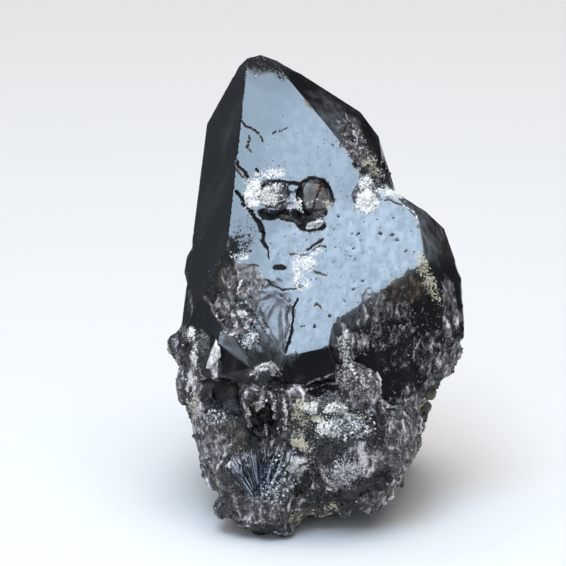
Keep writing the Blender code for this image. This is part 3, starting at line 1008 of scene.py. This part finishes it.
def build_skin(solid):
    """The cluster's own surface: the solid's, split finely, painted and given its relief."""
    skin = Skin(solid)
    mirror, flat = flatten_mirror(skin)
    skin.rim &= ~flat
    co = skin.co
    rock = skin.spread(skin.rock, 2)
    crystal = 1 - skin.rock
    coarse = noise_at(co, 3.2, 1.0)
    middle = noise_at(co, 1.4, 2.0)
    small = noise_at(co, 0.7, 4.0)
    chips = plates_at(co, 2.8) * 0.6 + plates_at(co, 1.3, 5.0) * 0.4
    masks = paint_qualities(skin, rock, crystal, coarse)
    height = rock * (1 - 0.75 * masks["satin"]) * (
        0.5 * coarse + 0.28 * chips + 0.15 * middle + 0.06 * small
    )
    height += crystal * masks["frost"] * (0.30 * chips + 0.15 * middle)
    height += crystal * masks["etched"] * (0.06 * chips + 0.10 * small - 0.05)
    height += crystal * masks["broken"] * (0.9 * chips + 0.4 * middle + 0.25 * small - 0.2)
    crust = step(np.maximum(masks["white_and_highlight"], masks["cream_and_glint"]), 0.4, 0.95)
    height += crust * (0.15 + 0.3 * middle + 0.2 * small)
    height += crystal * shell_ripples(skin)
    height += crystal * ledges(skin, mirror)
    for centre, radii, turn, rise in FORMS:
        height += rise * skin.dome(centre, radii, turn)
    for name, strength, width, rise, points in STROKES:
        near = skin.line(points, width)
        masks[name] = np.maximum(masks[name], strength * near)
        if name != "pit_shade":
            masks["black_and_shade"] *= 1 - near
        height += rise * near
    nicks = step(noise_at(co, 2.2, 6.0), 0.15, 0.6)
    height -= skin.rim * (0.02 + 0.14 * nicks)
    # Etch pits on the mirror face, more of them to the right
    pits = step(noise_at(co, 0.8, 8.0), 0.64, 0.70) * mirror * step(masks["haze_and_sheen"], 0.2, 0.7)
    masks["black_and_shade"] *= 1 - masks["white_and_highlight"]
    masks["pit_shade"] = np.maximum(masks["pit_shade"], pits) * (1 - masks["white_and_highlight"])
    height -= 0.15 * pits
    height = np.where(skin.base, 0, height)
    upright = np.abs(unit(across(co, skin.tri))[:, 2]) < PRISM_SLOPE
    co = co + skin.normal * (height * MM)[:, None]
    co[:, 2] = np.maximum(co[:, 2], 0)
    skin.co = co
    skin.normal = skin.normals()
    skin.masks = masks
    skin.matrix = matrix_material()
    tip = crystal_material("smoky_amethyst", TIP_GLOSS, False)
    # A shaded copy of the crystal material: its low specular level paints shade onto the upright prism
    # faces
    shaded_prism = crystal_material("smoky_prism_faces_shaded", PRISM_SHADE_GLOSS, True)
    index = np.where(skin.face == 0, 1, np.where(upright, 2, 0))
    obj = make_mesh("cluster_skin", co, skin.tri, [tip, skin.matrix, shaded_prism], index)
    for name, values in masks.items():
        add_values(obj, name, values)
    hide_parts(NODE)
    print("skin", len(co), "points", len(skin.tri), "triangles")
    return skin


def shell_ripples(skin):
    """A conchoidal break: low curved ribs that spread from one point of the mirror face."""
    dx, dy = skin.px - FAN_ORIGIN[0], skin.py - FAN_ORIGIN[1]
    angle = np.arctan2(-dx, dy)
    away = np.hypot(dx, dy)
    bent = angle + 0.0045 * away
    ribs = np.sin(bent * 9 + 0.5 * skin.ragged) + 0.5 * np.sin(bent * 23 + away * 0.05 + skin.ragged)
    return skin.spot(*FAN, ragged=0.3) * (0.085 * ribs * step(away, 3, 30) - 0.25 * step(away, 0, 20))


def ledges(skin, mirror):
    """Steps on the broken corner whose treads run level with the mirror face and so catch its light."""
    level, corner = (np.array(skin.solid.hit(pixel)[1]) for pixel in (MIRROR_PIXEL, CORNER_PIXEL))
    rise = level - corner * (level @ corner)
    slope = np.linalg.norm(rise) / (level @ corner)
    along = skin.co @ (rise / np.linalg.norm(rise)) / MM
    period = LEDGE_STEP * (1 + 0.3 * skin.ragged)
    phase = (along + 1.1 * noise_at(skin.co, 3.0, 12.0)) / LEDGE_STEP
    saw = 0.5 - (phase - np.floor(phase))
    on_corner = step(skin.normal @ corner, 0.97, 0.99) * (1 - mirror)
    return skin.spot(*LEDGES, ragged=0.5) * on_corner * saw * slope * period * 0.9


class Scatter:
    """Many small closed shapes spread over the skin and joined in one mesh."""

    def __init__(self, skin, seed):
        self.skin = skin
        self.rng = np.random.default_rng(seed)
        self.parts = []

    def places(self, weight, count):
        """Points and normals at random on the skin, more of them where the weight is high, and the
        skin's point nearest to each."""
        skin = self.skin
        corner, first, second = edge_vectors(skin.co, skin.tri)
        area = np.linalg.norm(np.cross(first, second), axis=1)
        share = area * weight[skin.tri].mean(1)
        chosen = self.rng.choice(len(share), count, p=share / share.sum())
        u, v = self.rng.random((2, count))
        u, v = np.where(u + v > 1, 1 - u, u), np.where(u + v > 1, 1 - v, v)
        spots = corner[chosen] + u[:, None] * first[chosen] + v[:, None] * second[chosen]
        nearest = skin.tri[chosen, 0]
        return spots, skin.normal[nearest], nearest

    def turns(self, normals, tilt):
        """Random frames whose third axis keeps near the normals; a large tilt turns them any way."""
        axis = unit(normals + tilt * self.rng.normal(size=normals.shape))
        side = unit(np.cross(axis, self.rng.normal(size=axis.shape)))
        return np.stack([side, np.cross(axis, side), axis], axis=2)

    def add(self, places, turns, sizes, shape, faces, values, uneven=0.0):
        """Copies of a shape: sizes has three widths for each, in metres; values are one for each."""
        count = len(places)
        local = shape[None] + uneven * self.rng.normal(size=(count, *shape.shape))
        local = local * sizes[:, None, :]
        co = np.einsum("nij,nkj->nki", turns, local) + places[:, None]
        tri = faces[None] + (np.arange(count) * len(shape))[:, None, None]
        values = {name: np.repeat(value, len(shape)) for name, value in values.items()}
        self.parts.append((co.reshape(-1, 3), tri.reshape(-1, 3), values))

    def build(self, name, material):
        co, tri, start = [], [], 0
        for places, faces, _ in self.parts:
            co.append(places)
            tri.append(faces + start)
            start += len(places)
        co = np.concatenate(co)
        co[:, 2] = np.maximum(co[:, 2], 0)
        obj = make_mesh(name, co, np.concatenate(tri), [material], sharp=20.0)
        for key in self.parts[0][2]:
            add_values(obj, key, np.concatenate([values[key] for _, _, values in self.parts]))
        print(name, sum(len(p[1]) for p in self.parts), "triangles")


def chip_shape():
    """A chip: a block with eight corners."""
    corners = np.array([(x, y, z) for x in (-1, 1) for y in (-1, 1) for z in (-1, 1)], float) / 2
    quads = [(0, 1, 3, 2), (4, 6, 7, 5), (0, 4, 5, 1), (2, 3, 7, 6), (0, 2, 6, 4), (1, 5, 7, 3)]
    faces = [t for a, b, c, d in quads for t in ((a, b, c), (a, c, d))]
    return corners, np.array(faces)


def point_shape():
    """A six-sided quartz point, one unit long, with its foot at 0."""
    ring = [(math.cos(k * math.pi / 3), math.sin(k * math.pi / 3)) for k in range(6)]
    foot = [(x / 2, y / 2, 0.0) for x, y in ring]
    neck = [(x / 2, y / 2, 0.6) for x, y in ring]
    corners = np.array([*foot, *neck, (0, 0, 1), (0, 0, 0)])
    faces = []
    for k in range(6):
        n = (k + 1) % 6
        faces += [(k, n, 6 + n), (k, 6 + n, 6 + k), (6 + k, 6 + n, 12), (n, k, 13)]
    return corners, np.array(faces)


def grain_sizes(rng, count, low, high):
    """Three widths for each grain, from low to high in millimetres, with many small and few large."""
    size = low + (high - low) * rng.random(count) ** 2.5
    return size[:, None] * rng.uniform(0.55, 1.25, (count, 3)) * MM


def build_grains(skin):
    """Chips of the matrix in its own finish, grains on the crusts, and small quartz points."""
    masks = skin.masks
    above = skin.co[:, 2] > 0.6 * MM
    rock = np.maximum(skin.rock, 0.9 * masks["broken"]) * above
    rock *= (1 - masks["satin"]) * (0.25 + 0.75 * skin.seen)
    clumps = step(noise_at(skin.co, 1.6, 15.0), -0.25, 0.2)
    shape, faces = chip_shape()

    scatter = Scatter(skin, 11)
    places, normals, nearest = scatter.places(rock * (1 - 0.8 * masks["white_and_highlight"]), 4000)
    sizes = grain_sizes(scatter.rng, len(places), 0.18, 0.95)
    places = places - normals * 0.38 * sizes[:, 2:]
    values = {name: masks[name][nearest] for name in ("white_and_highlight", "cream_and_glint", "frost", "brown", "pit_shade")}
    values["black_and_shade"] = np.clip(masks["black_and_shade"][nearest] + scatter.rng.uniform(-0.3, 0.3, len(places)), 0, 1)
    scatter.add(places, scatter.turns(normals, 0.5), sizes, shape, faces, values, 0.13)
    scatter.build("matrix_chips", skin.matrix)

    scatter = Scatter(skin, 12)
    for mask, count, low, high, tones in (
        ("white_and_highlight", 9000, 0.06, 0.27, (0.5, 1.0)),
        ("cream_and_glint", 3000, 0.08, 0.32, (0.0, 0.6)),
    ):
        places, normals, _ = scatter.places(masks[mask] ** 2 * clumps * above, count)
        sizes = grain_sizes(scatter.rng, count, low, high)
        values = {"tone": scatter.rng.uniform(*tones, count)}
        scatter.add(places, scatter.turns(normals, 1.0), sizes, shape, faces, values, 0.12)
    scatter.build("crust_grains", grain_material("crust_grain", CRUST_TONES, 0.6))

    scatter = Scatter(skin, 13)
    weight = np.maximum(masks["growth"], 0.003 * rock)
    places, normals, _ = scatter.places(weight, 1500)
    width = scatter.rng.uniform(0.18, 0.42, len(places)) * MM
    sizes = np.column_stack([width, width, width * scatter.rng.uniform(1.1, 2.0, len(places))])
    shape, faces = point_shape()
    values = {"tone": scatter.rng.random(len(places))}
    turns = scatter.turns(normals, 0.35)
    scatter.add(places - normals * 0.1 * MM, turns, sizes, shape, faces, values)
    scatter.build("druse_points", grain_material("druse", DRUSE_TONES, 0.10))


def build_needles(skin, tree):
    """A fan of slim blades, spread from a point low on the front and half sunk in the matrix."""
    rng = np.random.default_rng(21)
    co, tri, tone = [], [], []
    for k in range(NEEDLES):
        angle = math.radians(-40 + 72 * (k + rng.uniform(-0.5, 0.5)) / NEEDLES)
        start, end = rng.uniform(12, 34), rng.uniform(44, 60)
        bend = rng.uniform(-0.06, 0.06)
        width = rng.uniform(0.20, 0.42) * MM
        path = []
        for s in np.linspace(0, 1, 7):
            away = start + (end - start) * s
            turn = angle + bend * s
            px = NEEDLE_FOOT[0] + math.sin(turn) * away
            py = NEEDLE_FOOT[1] - math.cos(turn) * away
            place, normal, _, _ = tree.ray_cast(CAMERA_PLACE, photo_point(px, py))
            if place is not None:
                path.append((place, normal, s))
        lifted = rng.uniform(0.02, 0.22) * MM
        value = rng.random() ** 1.1
        first = len(co)
        for j, (place, normal, s) in enumerate(path):
            ahead = (path[min(j + 1, len(path) - 1)][0] - path[max(j - 1, 0)][0]).normalized()
            up = (normal + BACK * 1.5).normalized()
            side = ahead.cross(up).normalized()
            thick = width * (0.5 + 0.5 * math.sin(math.pi * min(1.0, 0.25 + s * 0.8)))
            middle = place + up * lifted
            for aside, rise in ((-0.5, 0.0), (0.0, 0.6), (0.5, 0.0), (0.0, -0.9)):
                co.append(middle + side * aside * thick + up * rise * thick)
                # The crest, turned towards the camera, gets a lighter tone than the flanks and the keel:
                # a painted highlight along each blade
                tone.append(0.8 * value if rise <= 0 else min(1.0, 0.15 + value))
        for j in range(len(path) - 1):
            for q in range(4):
                a, b = first + 4 * j + q, first + 4 * j + (q + 1) % 4
                tri += [(a, b, b + 4), (a, b + 4, a + 4)]
        last = first + 4 * (len(path) - 1)
        tri += [(first, first + 2, first + 1), (first, first + 3, first + 2)]
        tri += [(last, last + 1, last + 2), (last, last + 2, last + 3)]
    co, tri = np.array([list(p) for p in co]), np.array(tri)
    obj = make_mesh("needle_fan", co, tri, [grain_material("needle", NEEDLE_TONES, 0.12)], sharp=15.0)
    add_values(obj, "tone", np.array(tone))


def build_nodules(tree):
    """Small rounded brown lumps that stand out at the right edge of the matrix."""
    mesh = bmesh.new()
    for (px, py), (rx, ry) in NODULES:
        place, left = None, px
        while place is None:
            left -= 1
            place = tree.ray_cast(CAMERA_PLACE, photo_point(left, py))[0]
        depth = (place - CAMERA_PLACE).length
        centre = CAMERA_PLACE + photo_point(px, py) * depth
        lump = bmesh.ops.create_icosphere(mesh, subdivisions=4, radius=1)["verts"]
        for vert in lump:
            out = 1 + 0.22 * noise.noise(vert.co * 1.7 + Vector((px, 0, 0)))
            out += 0.07 * noise.noise(vert.co * 6 + Vector((0, py, 0)))
            x, y, z = vert.co * out
            vert.co = centre + Vector((x * rx, y * rx, z * ry)) * PIXEL
    obj = make_mesh_of(mesh, "nodules", grain_material("nodule", NODULE_TONES, 0.45))
    tones = [0.5 + 0.9 * noise.noise(vert.co / (1.2 * MM)) for vert in obj.data.vertices]
    add_values(obj, "tone", np.clip(tones, 0, 1))


def build_shard(tree):
    """The pale splinter that leans on the left, thin and slightly domed."""
    mesh = bmesh.new()
    rim = [tree.ray_cast(CAMERA_PLACE, photo_point(*point))[0] for point in SHARD]
    middle = sum(rim, Vector()) / len(rim)
    rings = []
    for inward, lift in ((0.0, -0.5), (0.0, 0.25), (0.35, 0.75), (0.7, 0.95)):
        ring = [place.lerp(middle, inward) + BACK * lift * MM for place in rim]
        rings.append([mesh.verts.new(place) for place in ring])
    top = mesh.verts.new(middle + BACK * 1.1 * MM)
    foot = mesh.verts.new(middle - BACK * 0.5 * MM)
    for k in range(len(rim)):
        n = (k + 1) % len(rim)
        for low, high in zip(rings[:-1], rings[1:]):
            mesh.faces.new((low[k], low[n], high[n], high[k]))
        mesh.faces.new((rings[-1][k], rings[-1][n], top))
        mesh.faces.new((rings[0][n], rings[0][k], foot))
    bmesh.ops.recalc_face_normals(mesh, faces=mesh.faces)
    bmesh.ops.triangulate(mesh, faces=mesh.faces)
    bmesh.ops.subdivide_edges(mesh, edges=mesh.edges, cuts=2, use_grid_fill=True)
    for vert in mesh.verts:
        vert.co += BACK * 0.25 * MM * noise.noise(vert.co / (0.9 * MM))
    obj = make_mesh_of(mesh, "white_shard", grain_material("shard", CRUST_TONES, 0.35))
    tones = [0.62 + 0.25 * noise.noise(vert.co / (0.8 * MM)) for vert in obj.data.vertices]
    add_values(obj, "tone", np.array(tones))


def make_mesh_of(mesh, name, material):
    """The object made from an edited mesh."""
    bmesh.ops.triangulate(mesh, faces=mesh.faces)
    mesh.verts.index_update()
    co = np.array([list(vert.co) for vert in mesh.verts])
    tri = np.array([[vert.index for vert in face.verts] for face in mesh.faces])
    mesh.free()
    return make_mesh(name, co, tri, [material], sharp=40.0)


def grain_material(name, tones, roughness):
    """Grains that take their colour from their own tone, each with fine variation."""
    material, tree, shader = new_material(name)
    fine = noise_node(tree, stretched(tree, (1, 1, 1)), 0.4, 3)
    colour = ramp(tree, attribute(tree, "tone"), tones)
    shade = between(tree, fine, 0.3, 0.7, 0.6, 1.25)
    mix = add_node(tree, "Mix", {0: 1.0, 6: colour, 7: shade}, data_type="RGBA", blend_type="MULTIPLY")
    tree.links.new(mix.outputs[2], shader.inputs["Base Color"])
    shader.inputs["Roughness"].default_value = roughness
    tree.links.new(bump(tree, fine, 0.05), shader.inputs["Normal"])
    shader.inputs["IOR"].default_value = QUARTZ_IOR
    return material


# The key light that the mirror face shows, and how bright the soft studio is to each side
KEY_AWAY = 0.45
KEY_SIDE = 0.205
KEY_RADIANCE = 9.2
KEY_COLOUR = (0.50, 0.735, 1.0)
FILL_PLACE = Vector((0.08, -0.10, 0.70))
FILL_SIDE = 0.30
FILL_RADIANCE = 4.0
FILL_COLOUR = (1.0, 0.96, 0.92)
SKY_LEFT = 0.36
SKY_RIGHT = 0.10
SKY_FRONT = 0.55
SKY_TOP = 1.95
SLATE_SKY = (0.74, 0.88, 1.0, 1)
PLAIN_SKY = (1.0, 0.97, 0.94, 1)
FLOOR_TONE = (0.74, 0.74, 0.74, 1)


# Stage
def build_floor():
    side = 1.6
    mesh = bpy.data.meshes.new("floor")
    corners = [(-side, -side, 0), (side, -side, 0), (side, side, 0), (-side, side, 0)]
    mesh.from_pydata(corners, [], [(0, 1, 2, 3)])
    material, tree, shader = new_material("pale_floor")
    shader.inputs["Base Color"].default_value = FLOOR_TONE
    shader.inputs["Roughness"].default_value = 0.9
    shader.inputs["Specular IOR Level"].default_value = 0.1
    mesh.materials.append(material)
    obj = bpy.data.objects.new("floor", mesh)
    bpy.context.scene.collection.objects.link(obj)


def area_light(name, place, aim, size, radiance, colour):
    """A square soft light; radiance is what a mirror would show of it."""
    light = bpy.data.lights.new(name, "AREA")
    light.shape = "SQUARE"
    light.size = size
    light.energy = radiance * math.pi * size**2
    light.color = colour
    obj = bpy.data.objects.new(name, light)
    obj.location = place
    obj.rotation_mode = "QUATERNION"
    obj.rotation_quaternion = (Vector(aim) - Vector(place)).to_track_quat("-Z", "Y")
    bpy.context.scene.collection.objects.link(obj)


def build_lights(solid):
    """The key light stands where the mirror face throws it back to the camera."""
    place, normal = solid.hit(MIRROR_PIXEL)
    to_camera = (CAMERA_PLACE - place).normalized()
    thrown = 2 * normal.dot(to_camera) * normal - to_camera
    area_light("key", place + thrown * KEY_AWAY, place, KEY_SIDE, KEY_RADIANCE, KEY_COLOUR)
    area_light("fill", FILL_PLACE, Vector((0, 0, 0)), FILL_SIDE, FILL_RADIANCE, FILL_COLOUR)
    world = bpy.data.worlds.new("studio")
    bpy.context.scene.world = world
    bpy.context.scene.view_settings.view_transform = "Standard"
    world.use_nodes = True
    tree = world.node_tree
    back = tree.nodes["Background"]
    where = add_node(tree, "TexCoord").outputs["Generated"]
    split = add_node(tree, "SeparateXYZ", {0: where}).outputs
    low = between(tree, split["X"], -0.9, 0.4, SKY_LEFT, SKY_RIGHT)
    front = between(tree, split["Y"], -0.8, -0.1, SKY_FRONT, 0.0)
    high = between(tree, split["Z"], 0.70, 0.95, 0.0, SKY_TOP)
    bright = plus(tree, plus(tree, low, front), high)
    tree.links.new(bright, back.inputs["Strength"])
    sky = blend(tree, between(tree, split["Z"], 0.3, 0.8), SLATE_SKY, PLAIN_SKY)
    tree.links.new(sky, back.inputs["Color"])


def build_camera():
    camera = bpy.data.cameras.new("camera")
    camera.sensor_width = SENSOR
    camera.lens = SENSOR * CAMERA_DISTANCE / (PHOTO_SIDE * PIXEL)
    camera.clip_start = 0.01
    camera.clip_end = 10
    obj = bpy.data.objects.new("camera", camera)
    obj.location = CAMERA_PLACE
    obj.rotation_mode = "QUATERNION"
    obj.rotation_quaternion = (-BACK).to_track_quat("-Z", "Y")
    bpy.context.scene.collection.objects.link(obj)
    bpy.context.scene.camera = obj


build_camera()
cluster_solid = Solid(NODE)
cluster_skin = build_skin(cluster_solid)
cluster_tree = BVHTree.FromPolygons(
    [Vector(p) for p in cluster_skin.co], cluster_skin.tri.tolist(), all_triangles=True
)
build_grains(cluster_skin)
build_needles(cluster_skin, cluster_tree)
build_nodules(cluster_tree)
build_shard(cluster_tree)
build_floor()
build_lights(cluster_solid)
